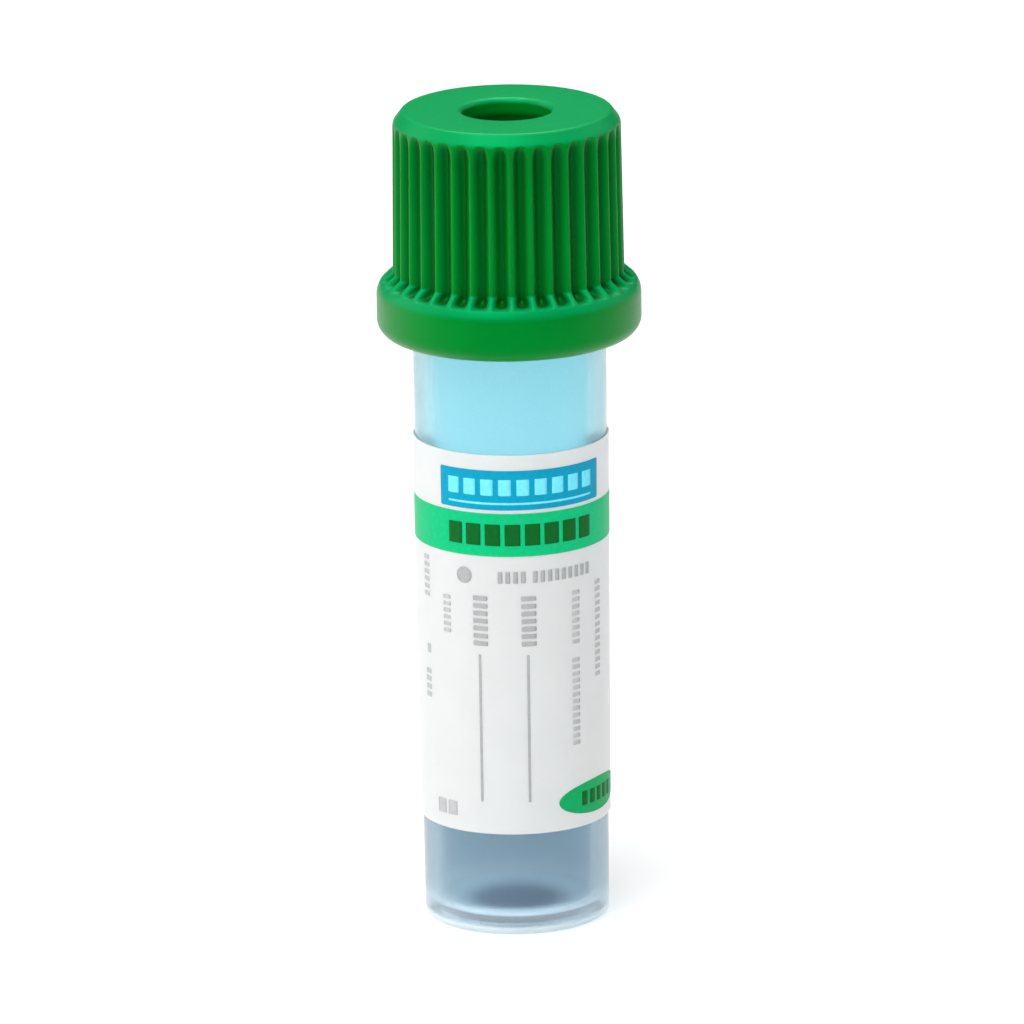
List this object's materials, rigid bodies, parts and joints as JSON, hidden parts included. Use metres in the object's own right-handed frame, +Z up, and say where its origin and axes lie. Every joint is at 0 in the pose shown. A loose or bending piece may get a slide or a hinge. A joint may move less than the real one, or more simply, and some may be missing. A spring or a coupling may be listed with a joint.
{
  "type": "blood collection tube",
  "caption": "Small clear plastic blood collection tube with a wrap-round label and a fluted cap that lifts off with its rubber stopper.",
  "frame": {"origin": "middle of the flat base, in the plane that the tube stands on", "axes": "+Z up along the tube's axis, -Y out of the middle of the label, +X to the right of someone who reads the label"},
  "size_m": [0.0142, 0.0142, 0.045],
  "materials": {
    "tube_plastic": "clear bluish moulded plastic, glossy",
    "label_film": "white printed film, satin",
    "cap_plastic": "green moulded plastic, satin gloss",
    "stopper_rubber": "dark green rubber, matt"
  },
  "bodies": {
    "tube_body": {"tube": "tube_plastic", "label": "label_film"},
    "closure": {"cap": "cap_plastic", "stopper": "stopper_rubber"}
  },
  "joints": [
    {"name": "cap_lift", "type": "slide", "parent": "tube_body", "child": "closure", "axis": [0, 0, 1], "range_m": [0, 0.025]}
  ]
}
